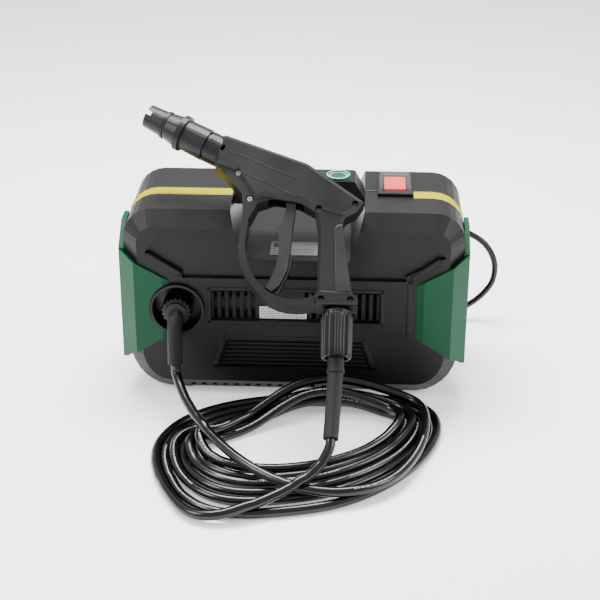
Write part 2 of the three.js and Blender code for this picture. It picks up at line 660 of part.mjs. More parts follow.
const GUN_SCREWS = [
  [-115, 30], [-101.5, 0.5], [-27.5, -11], [11, -5], [0.5, -66], [-22.5, -112], [8, -112.5]];
const TRIGGER_PIVOT = [-57, 2];
const triggerSlot = prism([[-82, -12], [-44, -12], [-44, 6], [-50, 9.5], [-66, 11.5], [-82, 8]], "z", -8, 8);
const gripRoute = [[-27, 3, 0], [-15, -17, 0], [-7.5, -45, 0], [-5.5, -90, 0], [-5.5, -131, 0]];
const gripBore = swept([[-32, 12, 0], ...gripRoute], 8.6, 10, 10);
const valveBore = onBarrel(rod(10.5 + GAP, "x", -12, 118, [0, 0, 0], 16));

function gunShell(sign) {
  const body = join(
    outlineLoft([barrelOutline, barrelOutline, inset(barrelOutline, 5)], "z", [SEAM, 11, GUN.half]),
    chamfered(gripOutline, 15, 3),
    chamfered(flangeOutline, GUN.half, 1.2),
    prism(webOutline, "z", SEAM, 12.5),
    prism(guardBand, "z", SEAM, 13),
  );
  const shell = cut(
    body,
    onBarrel(rod(17.5, "x", -20, 6, [0, 0, 0], 20)),
    valveBore,
    gripBore,
    triggerSlot,
    rod(2.8, "z", -14, 14, [...TRIGGER_PIVOT, 0], 12),
    ...GUN_SCREWS.map(([x, y]) => rod(3.6, "z", 9, 40, [x, y, 0], 10)),
  );
  return sign > 0 ? shell : shell.applyMatrix4(new THREE.Matrix4().makeScale(1, 1, -1));
}
piece("gun_shell_front", gunShell(1), MATERIAL.gunGrey, gun);
piece("gun_shell_rear", gunShell(-1), MATERIAL.gunGrey, gun);
// Inside: the valve body along the barrel, the pin that opens it and the pipe down the grip.
piece("gun_valve",
  onBarrel(turned([[0, 16], [10.4, 16], [10.4, 66], [7.4, 69], [7.4, 112], [0, 112]], "x", [0, 0, 0], 16)),
  MATERIAL.brass,
  gun);
piece("grip_pipe", swept(gripRoute, 7, 10, 8), MATERIAL.black, gun);

// ---------------------------------------------------------------- trigger and its lock

const triggerOutline = [
  [-62, 6.5], [-62.5, -7], [-65, -21], [-72, -33], [-69.5, -41], [-68.5, -57], [-72, -78], [-81, -97.5],
  [-75, -102], [-66.8, -95.5], [-59, -77.5], [-56.5, -57], [-55.2, -34], [-52.8, -11], [-51.5, 4], [-56, 8],
];
const pinHole = rod(2.9, "z", -10, 10, [...TRIGGER_PIVOT, 0], 12);
piece("trigger", cut(prism(triggerOutline, "z", -7, 7), pinHole), MATERIAL.gunGrey, gun);
piece("trigger_pin", rod(2.5, "z", -13.5, 13.5, [...TRIGGER_PIVOT, 0], 12), MATERIAL.steel, gun);
const lockOutline = [
  [-56.2, -60], [-53.8, -60], [-56.4, -78], [-64.5, -97], [-68.5, -105], [-71, -103.6], [-66.4, -96.2],
  [-58.7, -78],
];
piece("trigger_lock", prism(lockOutline, "z", -4.5, 4.5), MATERIAL.black, gun);

// ---------------------------------------------------------------- lance coupler

// The bayonet coupler is turned and notched at its mouth, with two O-ring grooves.
const couplerSolid = turned(
  [[0, 14], [10.2, 14], [10.2, 4], [16.8, 2], [17.3, -12], [17.3, -14], [15.5, -14], [15.5, -17],
    [17.8, -17], [17, -44], [20, -45], [20, -51], [17.6, -52], [14.8, -66], [15.8, -67], [15.8, -70],
    [14.3, -71], [13, -92], [9, -92], [9, -50], [0, -50]],
  "x", [0, 0, 0], 32);
const notches = [-14, 14].map((z) => block(-96, -86, -3.2, 3.2, z - 6, z + 6));
piece("lance_coupler", onBarrel(cut(couplerSolid, ...notches)), MATERIAL.gunGrey, gun);

// ---------------------------------------------------------------- hose end on the gun

const NUT = { x: -5.5, top: -121, bottom: -172, radius: 17 };
const nutSection = shifted(flutedNut(NUT.radius, 14, 1.3), NUT.x, 0);
piece("gun_hose_nut",
  cut(
    prism(nutSection, "y", NUT.bottom, NUT.top),
    rod(7.6, "y", NUT.bottom - 5, NUT.top + 5, [NUT.x, 0, 0]),
    rod(12.5, "y", NUT.bottom - 5, NUT.bottom + 10, [NUT.x, 0, 0]),
  ),
  MATERIAL.gunGrey, gun);
piece("gun_sleeve",
  join(
    rod(7.2, "y", -186, -131.4, [NUT.x, 0, 0], 20),
    rod(8.6, "y", -184, -163, [NUT.x, 0, 0], 20),
    swept([[NUT.x, -180, 0], [NUT.x - 1, -205, 0], [NUT.x - 2, -232, 0.6], [NUT.x - 3.4, -258, 3]], 8, 16, 8),
  ),
  MATERIAL.rubber, gun);
piece("hose_gun_lead",
  swept([[46.7, -258.4, 54], [46.2, -264.1, 49.3], [44, -272, 43.5], [40, -281, 37.5]], HOSE, 12, 4),
  MATERIAL.gloss);

export default washer;
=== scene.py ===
import json
import math

import bmesh
import bpy
import numpy as np
from mathutils import Matrix, Vector

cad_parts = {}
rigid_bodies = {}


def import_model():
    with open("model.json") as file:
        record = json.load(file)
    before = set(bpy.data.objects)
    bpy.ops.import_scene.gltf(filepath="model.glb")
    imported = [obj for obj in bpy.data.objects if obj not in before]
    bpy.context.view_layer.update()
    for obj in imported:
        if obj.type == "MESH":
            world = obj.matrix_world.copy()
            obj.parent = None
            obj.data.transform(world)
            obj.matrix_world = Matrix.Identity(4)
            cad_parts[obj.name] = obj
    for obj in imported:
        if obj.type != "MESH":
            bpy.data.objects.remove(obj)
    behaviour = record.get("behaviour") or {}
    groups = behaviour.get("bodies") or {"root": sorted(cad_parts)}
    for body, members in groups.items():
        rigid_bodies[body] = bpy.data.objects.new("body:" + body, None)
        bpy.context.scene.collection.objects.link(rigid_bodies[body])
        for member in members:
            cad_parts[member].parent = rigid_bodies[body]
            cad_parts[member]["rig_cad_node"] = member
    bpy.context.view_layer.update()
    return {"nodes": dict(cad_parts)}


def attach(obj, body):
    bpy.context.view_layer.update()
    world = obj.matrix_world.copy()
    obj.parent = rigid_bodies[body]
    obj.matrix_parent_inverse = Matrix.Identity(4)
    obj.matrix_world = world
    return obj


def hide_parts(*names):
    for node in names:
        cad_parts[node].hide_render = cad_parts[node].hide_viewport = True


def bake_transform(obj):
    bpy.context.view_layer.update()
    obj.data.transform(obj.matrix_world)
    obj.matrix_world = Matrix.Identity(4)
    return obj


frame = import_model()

nodes = frame["nodes"]
MM = 0.001
PARTING = 78.53        # the casing's parting plane lies this far behind the row's origin, mm
CASING_DEPTH = 78      # from the parting plane to the casing's flat front or back, mm
CASING_SHOULDER = 62   # from the parting plane to where the corners start to round in, mm


def at(x, y, z):
    """A point of the casing's own frame, in mm from its parting plane, as metres in the row's."""
    return Vector((x, y + PARTING, z)) * MM


# ---------------------------------------------------------------- camera, floor and light

LENS, SENSOR = 90.45, 36   # mm
CAMERA_PLACE = (0.0698, -1.49015, 0.8485)
CAMERA_TURN, CAMERA_PITCH, CAMERA_ROLL = -0.0415, 0.4527, 0.0028   # radians
SKY_STRENGTH = 1.0
FLOOR_SIZE = 30
FLOOR_GLOW = 0.35

# name, place, what it points at, width and height, watts
LIGHTS = [
    ("top_softbox", (-0.1, 0.45, 1.5), (0, 0.05, 0.1), (1.1, 0.6), 80),
    ("left_softbox", (-1.4, -0.6, 1.2), (0, 0, 0.12), (0.7, 0.8), 26),
    ("right_softbox", (1.4, -0.3, 0.9), (0, 0, 0.12), (0.5, 0.8), 16),
]


def link(obj):
    bpy.context.scene.collection.objects.link(obj)
    return obj


def place_camera():
    data = bpy.data.cameras.new("camera")
    data.lens = LENS
    data.sensor_width = SENSOR
    cam = link(bpy.data.objects.new("camera", data))
    look = Vector((math.sin(CAMERA_TURN) * math.cos(CAMERA_PITCH),
                   math.cos(CAMERA_TURN) * math.cos(CAMERA_PITCH), -math.sin(CAMERA_PITCH)))
    level_right = look.cross(Vector((0, 0, 1))).normalized()
    level_up = level_right.cross(look)
    right = level_right * math.cos(CAMERA_ROLL) + level_up * math.sin(CAMERA_ROLL)
    up = level_up * math.cos(CAMERA_ROLL) - level_right * math.sin(CAMERA_ROLL)
    pose = Matrix((right, up, -look)).transposed().to_4x4()
    pose.translation = CAMERA_PLACE
    cam.matrix_world = pose
    bpy.context.scene.camera = cam


def area_light(name, place, target, size, watts):
    data = bpy.data.lights.new(name, "AREA")
    data.shape = "RECTANGLE"
    data.size, data.size_y = size
    data.energy = watts
    lamp = link(bpy.data.objects.new(name, data))
    lamp.location = place
    lamp.rotation_euler = (Vector(target) - Vector(place)).to_track_quat("-Z", "Y").to_euler()


def light_studio():
    world = bpy.data.worlds.new("studio")
    bpy.context.scene.world = world
    world.use_nodes = True
    sky = world.node_tree.nodes["Background"]
    sky.inputs["Color"].default_value = (1, 1, 1, 1)
    sky.inputs["Strength"].default_value = SKY_STRENGTH
    for light in LIGHTS:
        area_light(*light)


place_camera()
light_studio()


# ---------------------------------------------------------------- materials

NOISE_LOW, NOISE_HIGH = 0.3, 0.7   # the slow noise mostly stays between these
WEAR = 0.06                        # how far the roughness swings either way
COAT_ROUGHNESS = 0.12
GRAIN_DEPTH = 0.0003               # metres


def surface(name, colour, rough, metal=0.0, coat=0.0, grain=0.1, scale=1400.0, vary=0.1,
            patches=18.0, alpha=1.0, specular=0.5):
    """A procedural finish: a fine grain in the relief, and slow changes of shade and gloss."""
    mat = bpy.data.materials.new(name)
    mat.use_nodes = True
    tree = mat.node_tree
    shader = tree.nodes["Principled BSDF"]
    shader.inputs["Metallic"].default_value = metal
    shader.inputs["Coat Weight"].default_value = coat
    shader.inputs["Coat Roughness"].default_value = COAT_ROUGHNESS
    shader.inputs["Specular IOR Level"].default_value = specular
    shader.inputs["Alpha"].default_value = alpha

    where = tree.nodes.new("ShaderNodeTexCoord")
    slow = tree.nodes.new("ShaderNodeTexNoise")
    slow.inputs["Scale"].default_value = patches
    slow.inputs["Detail"].default_value = 6
    tree.links.new(where.outputs["Object"], slow.inputs["Vector"])

    ramp = tree.nodes.new("ShaderNodeValToRGB")
    dark, light = ramp.color_ramp.elements
    dark.position, light.position = NOISE_LOW, NOISE_HIGH
    dark.color = (*[c * (1 - vary) for c in colour], 1)
    light.color = (*[min(1, c * (1 + vary)) for c in colour], 1)
    tree.links.new(slow.outputs["Fac"], ramp.inputs["Fac"])
    tree.links.new(ramp.outputs["Color"], shader.inputs["Base Color"])

    gloss = tree.nodes.new("ShaderNodeMapRange")
    gloss.inputs["From Min"].default_value = NOISE_LOW
    gloss.inputs["From Max"].default_value = NOISE_HIGH
    gloss.inputs["To Min"].default_value = max(0.02, rough - WEAR)
    gloss.inputs["To Max"].default_value = min(1, rough + WEAR)
    tree.links.new(slow.outputs["Fac"], gloss.inputs["Value"])
    tree.links.new(gloss.outputs["Result"], shader.inputs["Roughness"])

    fine = tree.nodes.new("ShaderNodeTexNoise")
    fine.inputs["Scale"].default_value = scale
    fine.inputs["Detail"].default_value = 2
    tree.links.new(where.outputs["Object"], fine.inputs["Vector"])
    bump = tree.nodes.new("ShaderNodeBump")
    bump.inputs["Strength"].default_value = grain
    bump.inputs["Distance"].default_value = GRAIN_DEPTH
    tree.links.new(fine.outputs["Fac"], bump.inputs["Height"])
    tree.links.new(bump.outputs["Normal"], shader.inputs["Normal"])
    return mat


# colour, roughness and what else differs from surface()'s own values
FINISHES = {
    "case_plastic": ((0.0048, 0.0048, 0.0052), 0.42, dict(grain=0.25, specular=0.2)),
    "black_plastic": ((0.0028, 0.0028, 0.003), 0.36, dict(grain=0.2, specular=0.25)),
    "gun_plastic": ((0.0058, 0.0061, 0.0064), 0.38, dict(grain=0.25, specular=0.25)),
    "grip_plastic": ((0.0075, 0.0088, 0.0088), 0.38, dict(grain=0.35, specular=0.35)),
    "green_plastic": ((0.0008, 0.05, 0.019), 0.4, dict(grain=0.25, specular=0.15)),
    "dark_green": ((0.0008, 0.018, 0.008), 0.35, dict(grain=0.2, specular=0.2)),
    "badge_plastic": ((0.001, 0.06, 0.022), 0.3, dict(coat=0.1, specular=0.3)),
    "mint_plastic": ((0.22, 0.6, 0.38), 0.3, dict(coat=0.2)),
    "yellow_plastic": ((0.34, 0.3, 0.0), 0.5, dict(grain=0.15, specular=0.06)),
    "red_plastic": ((0.62, 0.012, 0.015), 0.25, dict(coat=0.2, specular=0.3)),
    "white_plastic": ((0.75, 0.75, 0.74), 0.35, {}),
    "clear_plastic": ((0.7, 0.72, 0.74), 0.06, dict(alpha=0.035, grain=0.05, specular=0.3)),
    "rubber": ((0.0035, 0.0035, 0.0035), 0.55, dict(grain=0.4, specular=0.25)),
    "hose_rubber": ((0.0016, 0.0016, 0.0017), 0.22, dict(coat=0.08, grain=0.12, specular=0.33)),
    "hose_print": ((0.3, 0.3, 0.3), 0.5, dict(grain=0, specular=0.1)),
    "label": ((0.55, 0.56, 0.55), 0.5, dict(grain=0.05, vary=0.03)),
    "grey_label": ((0.16, 0.163, 0.16), 0.5, dict(grain=0.05, vary=0.1)),
    "label_ink": ((0.02, 0.02, 0.022), 0.55, dict(grain=0.05)),
    "steel": ((0.55, 0.55, 0.56), 0.3, dict(metal=1.0, grain=0.1, patches=60)),
    "dark_steel": ((0.12, 0.12, 0.125), 0.35, dict(metal=1.0, grain=0.1, patches=60)),
    "brass": ((0.72, 0.48, 0.17), 0.28, dict(metal=1.0, grain=0.1, patches=60)),
    # aluminium is much darker than bare metal, as painted shade: its parts, gear_case and
    # pump_head, sit inside the casing and show through its slots
    "aluminium": ((0.2, 0.2, 0.205), 0.48, dict(metal=1.0, grain=0.6, scale=500)),
    "copper": ((0.75, 0.3, 0.12), 0.35, dict(metal=1.0, grain=0.3, scale=700)),
}
FINISH = {name: surface(name, colour, rough, **rest)
          for name, (colour, rough, rest) in FINISHES.items()}


def stage_floor():
    bpy.ops.mesh.primitive_plane_add(size=FLOOR_SIZE, location=(0, 0, 0))
    floor = bpy.context.object
    floor.name = "floor"
    white = surface("floor_white", (0.96, 0.96, 0.96), 0.6, grain=0, vary=0.01)
    sockets = white.node_tree.nodes["Principled BSDF"].inputs
    sockets["Emission Color"].default_value = (1, 1, 1, 1)
    sockets["Emission Strength"].default_value = FLOOR_GLOW
    floor.data.materials.append(white)


stage_floor()


# ---------------------------------------------------------------- making pieces

BEVEL_ANGLE = 32               # only edges sharper than this are bevelled, degrees
SOFT_ANGLE = 35                # edges sharper than this stay sharp in the shading, degrees
TUBE_ANGLE = 60
TUBE_SEAM = [0.3, 0.2, 1.0]    # a direction that no cord here starts along


def shade(obj, angle=SOFT_ANGLE):
    obj.data.shade_smooth()
    obj.data.set_sharp_from_angle(angle=math.radians(angle))


def add_bevel(obj, width, segments=2):
    mod = obj.modifiers.new("bevel", "BEVEL")
    mod.width = width * MM
    mod.segments = segments
    mod.limit_method = "ANGLE"
    mod.angle_limit = math.radians(BEVEL_ANGLE)
    mod.harden_normals = False
    return mod


def finish_piece(obj, finish, body="root", bevel=0.0, smooth=SOFT_ANGLE):
    obj.data.materials.clear()
    obj.data.materials.append(FINISH[finish])
    if bevel:
        add_bevel(obj, bevel)
    shade(obj, smooth)
    if "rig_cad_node" not in obj:
        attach(obj, body)
    return obj


def mesh_piece(name, verts, faces, finish, body="root", bevel=0.0, smooth=SOFT_ANGLE, ride=True):
    """One piece from vertices and faces. With ride=False the caller gives it its bodies."""
    data = bpy.data.meshes.new(name)
    data.from_pydata([tuple(v) for v in verts], [], faces)
    bm = bmesh.new()
    bm.from_mesh(data)
    bmesh.ops.recalc_face_normals(bm, faces=bm.faces)
    bm.to_mesh(data)
    bm.free()
    obj = link(bpy.data.objects.new(name, data))
    if ride:
        return finish_piece(obj, finish, body, bevel, smooth)
    data.materials.append(FINISH[finish])
    shade(obj, smooth)
    return obj


def tube(name, line, radius, finish, sides=14, ride=True):
    """A round tube along a line of points, closed at both ends."""
    line = np.asarray(line, float)
    tangent = np.gradient(line, axis=0)
    tangent /= np.linalg.norm(tangent, axis=1)[:, None]
    normal = np.cross(tangent[0], TUBE_SEAM)
    verts = []
    for point, along in zip(line, tangent):
        normal = normal - along * (normal @ along)
        normal /= np.linalg.norm(normal)
        side = np.cross(along, normal)
        for k in range(sides):
            a = 2 * math.pi * k / sides
            verts.append(point + radius * (math.cos(a) * normal + math.sin(a) * side))
    faces = []
    for i in range(len(line) - 1):
        for k in range(sides):
            j = (k + 1) % sides
            faces.append((i * sides + k, i * sides + j, (i + 1) * sides + j, (i + 1) * sides + k))
    faces.append(tuple(range(sides)))
    last = (len(line) - 1) * sides
    faces.append(tuple(last + k for k in reversed(range(sides))))
    return mesh_piece(name, verts, faces, finish, ride=ride, smooth=TUBE_ANGLE)


# ---------------------------------------------------------------- lines that cords follow

def catmull(points, count, closed=False):
    """A smooth line through the points, with count steps from each to the next."""
    pts = np.asarray(points, float)
    n = len(pts)
    out = []
    for i in range(n if closed else n - 1):
        if closed:
            a, b, c, d = (pts[(i + k) % n] for k in (-1, 0, 1, 2))
        else:
            b, c = pts[i], pts[i + 1]
            a = pts[i - 1] if i else 2 * b - c
            d = pts[i + 2] if i + 2 < n else 2 * c - b
        for t in np.arange(count) / count:
            out.append(0.5 * (2 * b + (c - a) * t + (2 * a - 5 * b + 4 * c - d) * t * t
                              + (3 * b - a - 3 * c + d) * t ** 3))
    if not closed:
        out.append(pts[-1])
    return np.array(out)


def distance_along(line):
    return np.concatenate([[0], np.linalg.norm(np.diff(line, axis=0), axis=1).cumsum()])


def spaced(line, step):
    """The same line with its points about one step apart."""
    along = distance_along(line)
    spots = np.linspace(0, along[-1], max(2, round(along[-1] / step) + 1))
    return np.stack([np.interp(spots, along, line[:, k]) for k in range(3)], axis=1)


# ---------------------------------------------------------------- the high-pressure hose

HOSE_R = 5.25 * MM
HOSE_D = 2 * HOSE_R
HOSE_STEP = 5.5 * MM       # between the points that settle
EDGE_STEPS = 24            # from each point of the edges to the next
LOOPS = 7
TURN_STEP = 1 / 48
BEFORE, AFTER = -1, 99     # in place of the turn, for points before and after the loops
RISER_LENGTH = 0.52        # the last stretch, which follows the gun
SETTLE_ROUNDS, QUICK_ROUNDS = 420, 160

# once round the loops from the rear middle, counter-clockwise from above: inner and outer edge
HOSE_EDGES = [
    ((12, -128), (10, -84)), ((-22, -152), (-45, -95)), ((-52, -179), (-96, -118)),
    ((-78, -192), (-130, -156)), ((-88, -201), (-143, -205)), ((-80, -217), (-136, -262)),
    ((-58, -230), (-112, -317)), ((-28, -235), (-68, -348)), ((6, -231), (-8, -334)),
    ((36, -219), (50, -319)), ((64, -203), (97, -284)), ((90, -183), (138, -236)),
    ((109, -160), (163, -180)), ((113, -143), (168, -133)), ((98, -127), (150, -96)),
    ((58, -121), (85, -84)),
]
# turns made, and where the hose then runs between the two edges: 0 inside, 1 outside
LANES = [(0.82, 0.9), (0.95, 0.6), (1.08, 0.3), (1.22, 0.06), (2.4, 0.16), (3.4, 0.3), (4.4, 0.46),
         (5.4, 0.62), (6.0, 0.76), (6.4, 0.84), (6.6, 0.95), (6.75, 1.0), (7.3, 1.0)]
FROM_OUTLET = [
    (-127, -119.2, 61.4), (-126, -122, 51), (-123.5, -130, 43), (-117, -153, 38), (-101, -187, 34),
    (-81, -218, 32), (-61, -243, 29.5), (-37, -268, 27.5), (-11, -289, 26), (18, -304, 25),
    (50, -308, 21), (82, -300, 17), (112, -279, 16), (134, -250, 16), (148, -220, 17),
]
TO_GUN = [
    (-111, -313, 5.3), (-99, -329, 5.3), (-86, -338, 5.3), (-68, -342, 6.5), (-45, -334, 11),
    (-22, -320, 15.5), (2, -304, 15.8), (20, -292, 22), (32, -286, 30), (40, -281, 37.5),
    (44, -272, 43.5), (46.2, -264.1, 49.3), (46.7, -258.4, 54),
]

# the first layout lies higher for each turn still to come, by LIFT in hose diameters where there
# is room between the edges, and by TIGHT_LIFT more where they are close
ROOMY, TIGHT = 66, 40                # mm between the edges
LIFT, TIGHT_LIFT = 0.09, 0.6
LAST_LIFTED = LOOPS - 0.3            # from this turn on, the layout lies on the floor

# settling, in metres and shares of a round
HELD_START, HELD_END = 32 * MM, 30 * MM   # these lengths at the ends don't move
PULL_LOOPS, PULL_ENDS = 0.02, 0.1         # how strongly a point goes back to its first place
SINK = 0.3 * MM                           # each round, less towards the end
NOT_NEIGHBOURS = 4                        # points this far apart along the hose may collide
LOOK_EVERY, LOOK_ROOM = 6, 4 * MM
SPREAD = 0.6                              # keeps several pushes on one point from adding up
SMOOTHING = 0.3
SMOOTH_SPANS = (1, 3, 6)                  # in points to either side
UNSMOOTHED = 6                            # the last rounds only push and keep the length
EDGES_HOLD = LOOPS + 0.1                  # after this turn the hose may leave the edges
CASING_GAP = 1 * MM

# print: groups of strokes
PRINT_SEED = 11
PRINT_MARGIN, PRINT_LENGTH = 0.3, 0.13    # free at both ends of the hose, and one group, metres
NEXT_PRINT = (0.34, 0.46)                 # from one group to the next, metres
STROKE_WIDE, STROKE_GAP = (1.0, 2.4), (0.5, 1.3)   # mm
STROKE_HALF = 0.7 * MM
STROKE_SUNK, STROKE_PROUD = 0.15 * MM, 0.05 * MM
PRINT_SIDE = [0.0, -0.5, 0.86]            # the strokes face this way
BOX_CORNERS = ((-1, -1), (1, -1), (1, 1), (-1, 1))
BOX_FACES = ((0, 1, 2, 3), (4, 5, 6, 7), (0, 1, 5, 4), (1, 2, 6, 5), (2, 3, 7, 6), (3, 0, 4, 7))


def edge_loop(side):
    loop = catmull([at(*pair[side], 0) for pair in HOSE_EDGES], EDGE_STEPS, closed=True)
    for _ in range(4):
        loop = 0.5 * loop + 0.25 * (np.roll(loop, 3, 0) + np.roll(loop, -3, 0))
    return loop


INNER, OUTER = edge_loop(0), edge_loop(1)


def on_edge(loop, turn):
    spot = (turn % 1) * len(loop)
    i = int(spot)
    share = spot - i
    return loop[i % len(loop)] * (1 - share) + loop[(i + 1) % len(loop)] * share


def first_route():
    """The hose as first laid out, and the turn that each of its points belongs to."""
    points = [(*at(*p), BEFORE) for p in FROM_OUTLET]
    turns, shares = zip(*LANES)
    for u in np.arange(turns[0], turns[-1], TURN_STEP):
        a, b = on_edge(INNER, u), on_edge(OUTER, u)
        width = np.linalg.norm(b - a)
        share = (HOSE_R + np.interp(u, turns, shares) * (width - HOSE_D)) / width
        crowded = min(1, max(0, (ROOMY * MM - width) / ((ROOMY - TIGHT) * MM)))
        above = max(0.0, LAST_LIFTED - u)
        x, y, _ = a + (b - a) * share
        points.append((x, y, HOSE_R + HOSE_D * above * (LIFT + TIGHT_LIFT * crowded), u))
    points += [(*at(*p), AFTER) for p in TO_GUN]
    route = np.array(points)
    for _ in range(4):
        route[2:-2, :3] = 0.5 * route[2:-2, :3] + 0.25 * (route[1:-3, :3] + route[3:-1, :3])
    line = spaced(catmull(route[:, :3], 8), HOSE_STEP)
    along = distance_along(route[:, :3])
    spots = np.linspace(0, along[-1], len(line))
    turn = np.interp(spots, along, route[:, 3])
    turn[spots < along[np.argmax(route[:, 3] != BEFORE)]] = BEFORE
    turn[spots > along[np.argmax(route[:, 3] == AFTER) - 1]] = AFTER
    return line, turn


def settle(line, turn, rounds):
    """Lets the laid-out hose sink until its turns rest on the floor and on each other."""
    x, goal = line.copy(), line.copy()
    rest = np.linalg.norm(np.diff(line, axis=0), axis=1)
    along = distance_along(line)
    held = (along < HELD_START) | (along > along[-1] - HELD_END)
    looped = (turn != BEFORE) & (turn != AFTER)
    bounded = looped & (turn < EDGES_HOLD)
    pull = np.where(looped, PULL_LOOPS, PULL_ENDS)[:, None]
    inner = np.array([on_edge(INNER, u)[:2] for u in turn])
    across = np.array([on_edge(OUTER, u)[:2] for u in turn]) - inner
    width = np.linalg.norm(across, axis=1)
    across /= width[:, None]
    casing_front = (PARTING - CASING_DEPTH) * MM
    i, j = np.triu_indices(len(x), NOT_NEIGHBOURS)
    for r in range(rounds):
        if r % LOOK_EVERY == 0:
            close = (np.abs(x[j] - x[i]) < HOSE_D + LOOK_ROOM).all(axis=1)
            ci, cj = i[close], j[close]
        # back towards the first layout, down, and in between the two edges
        x[:, :2] += (goal[:, :2] - x[:, :2]) * pull
        x[:, 2] -= SINK * min(1, 1.5 * (1 - r / rounds))
        spot = ((x[:, :2] - inner) * across).sum(1)
        shift = np.clip(spot, HOSE_R, width - HOSE_R) - spot
        x[bounded, :2] += (shift[:, None] * across)[bounded] * 0.5
        # points closer than a diameter push each other away
        for _ in range(3):
            v = x[cj] - x[ci]
            far = np.maximum(np.linalg.norm(v, axis=1), 1e-6)
            near = far < HOSE_D
            a, b = ci[near], cj[near]
            push = v[near] / far[near, None] * ((HOSE_D - far[near]) * 0.5)[:, None]
            move, count = np.zeros_like(x), np.zeros(len(x))
            np.add.at(move, a, -push)
            np.add.at(move, b, push)
            np.add.at(count, a, 1)
            np.add.at(count, b, 1)
            x += move / np.maximum(1, count * SPREAD)[:, None]
            x[:, 2] = np.maximum(x[:, 2], HOSE_R)
            x[:, 1] = np.minimum(x[:, 1], casing_front - HOSE_R - CASING_GAP)
            x[held] = line[held]
        # the hose is stiff, so what moved it is spread along it, except in the last rounds
        if r < rounds - UNSMOOTHED:
            off = x - goal
            for k in SMOOTH_SPANS:
                off[k:-k] += SMOOTHING * (0.5 * (off[2 * k:] + off[:-2 * k]) - off[k:-k])
            x = goal + off
            x[held] = line[held]
        # and it keeps its length
        for odd in (0, 1):
            k = np.arange(odd, len(x) - 1, 2)
            v = x[k + 1] - x[k]
            far = np.linalg.norm(v, axis=1)
            fix = v / far[:, None] * ((far - rest[k]) * 0.5)[:, None]
            x[k] += fix
            x[k + 1] -= fix
        x[held] = line[held]
    x[:, 2] = np.maximum(x[:, 2], HOSE_R)
    return x


def print_on_hose(line, along):
    """Groups of plain strokes along the hose's upper side, in place of its print."""
    draw = np.random.RandomState(PRINT_SEED)
    verts, faces = [], []
    start = PRINT_MARGIN
    while start < along[len(line) - 1] - PRINT_MARGIN:
        spot = start
        while spot < start + PRINT_LENGTH:
            wide = draw.uniform(*STROKE_WIDE) * MM
            i = int(np.searchsorted(along, spot))
            share = (spot - along[i - 1]) / (along[i] - along[i - 1])
            mid = line[i - 1] * (1 - share) + line[i] * share
            forward = (line[i] - line[i - 1]) / np.linalg.norm(line[i] - line[i - 1])
            out = np.array(PRINT_SIDE)
            out -= forward * (out @ forward)
            out /= np.linalg.norm(out)
            side = np.cross(forward, out)
            base = len(verts)
            for lift in (HOSE_R - STROKE_SUNK, HOSE_R + STROKE_PROUD):
                for a, b in BOX_CORNERS:
                    verts.append(mid + forward * a * wide / 2 + side * b * STROKE_HALF + out * lift)
            faces += [tuple(base + k for k in quad) for quad in BOX_FACES]
            spot += wide + draw.uniform(*STROKE_GAP) * MM
        start += draw.uniform(*NEXT_PRINT)
    mesh_piece("hose_print", verts, faces, "hose_print")


def make_hose():
    line = settle(*first_route(), rounds=SETTLE_ROUNDS)
    line = catmull(line, 2)
    along = distance_along(line)
    split = int(np.argmax(along > along[-1] - RISER_LENGTH))
    coil, riser = line[:split + 1], line[split:]
    coil_tube = tube("hose_coil_tube", coil, HOSE_R, "hose_rubber")
    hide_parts("hose_outlet_lead", "hose_coil")
    print_on_hose(coil, along)
    riser_tube = tube("hose_gun_tube", riser, HOSE_R, "hose_rubber", ride=False)
    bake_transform(riser_tube)
    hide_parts("hose_gun_lead")


make_hose()


# ---------------------------------------------------------------- the mains cord

MAINS_R = 3.75 * MM
WOUND = (60, 147)          # middle of the wound cord
PITCH = 8.0                # from one turn to the next, mm
OUTSIDE = 57.0             # radius of the outermost turn, mm
LAYERS = TURNS_IN_LAYER = 4
LOWEST = 3.9               # height of the first layer's middle, mm
BEGIN = 50.0               # where each turn starts, degrees
SLIDE = 50.0               # the step to the next turn takes the last part of this one, degrees
LAST_END = 270             # the last turn stops here, degrees
TURN_POINTS = 72
FROM_GLAND = [
    (154, 106.4, 120), (154, 115, 120), (160, 129, 122), (179, 138, 121.5), (203, 138, 115),
    (226, 136, 101), (239, 134, 78), (238, 132, 53), (225, 131, 33), (206, 130, 18),
    (184, 130.5, 8.5), (162.5, 138, 4.4), (142, 153, 3.9), (120.9, 170.6, 3.9),
]
# angle, radius and height round the wound cord's middle, from its last turn down to the floor
OFF_COIL = [(-20, 59, 27), (0, 62, 25), (20, 64.5, 21.5), (40, 65, 17.5), (60, 65, 13),
            (78, 65, 10)]
TO_PLUG = [(56, 211.2, 8.8), (40, 208.4, 8.5), (24, 205, 8.5)]


def round_coil(degrees, radius, height):
    a = math.radians(degrees)
    return WOUND[0] + radius * math.cos(a), WOUND[1] + radius * math.sin(a), height


def mains_line():
    """From the gland down to the floor, sixteen turns in four layers, then out to the plug."""
    points = list(catmull(FROM_GLAND, 8))[:-1]
    for layer in range(LAYERS):
        inward = layer % 2 == 0
        for column in range(TURNS_IN_LAYER):
            ring = column if inward else TURNS_IN_LAYER - 1 - column
            ends_layer = column == TURNS_IN_LAYER - 1
            last = ends_layer and layer == LAYERS - 1
            for k in range(TURN_POINTS):
                turned = k * 360 / TURN_POINTS
                if last and turned > LAST_END:
                    break
                ease = max(0.0, (turned - 360 + SLIDE) / SLIDE)
                ease = ease * ease * (3 - 2 * ease)
                radius, height = OUTSIDE - PITCH * ring, LOWEST + PITCH * layer
                if not ends_layer:
                    radius -= PITCH * ease * (1 if inward else -1)
                elif not last:
                    height += PITCH * ease
                points.append(round_coil(BEGIN + turned, radius, height))
    points += [round_coil(*p) for p in OFF_COIL]
    points += TO_PLUG
    line = spaced(catmull([at(*p) for p in points], 3), 3 * MM)
    for _ in range(2):
        line[1:-1] = 0.5 * line[1:-1] + 0.25 * (line[2:] + line[:-2])
    return line


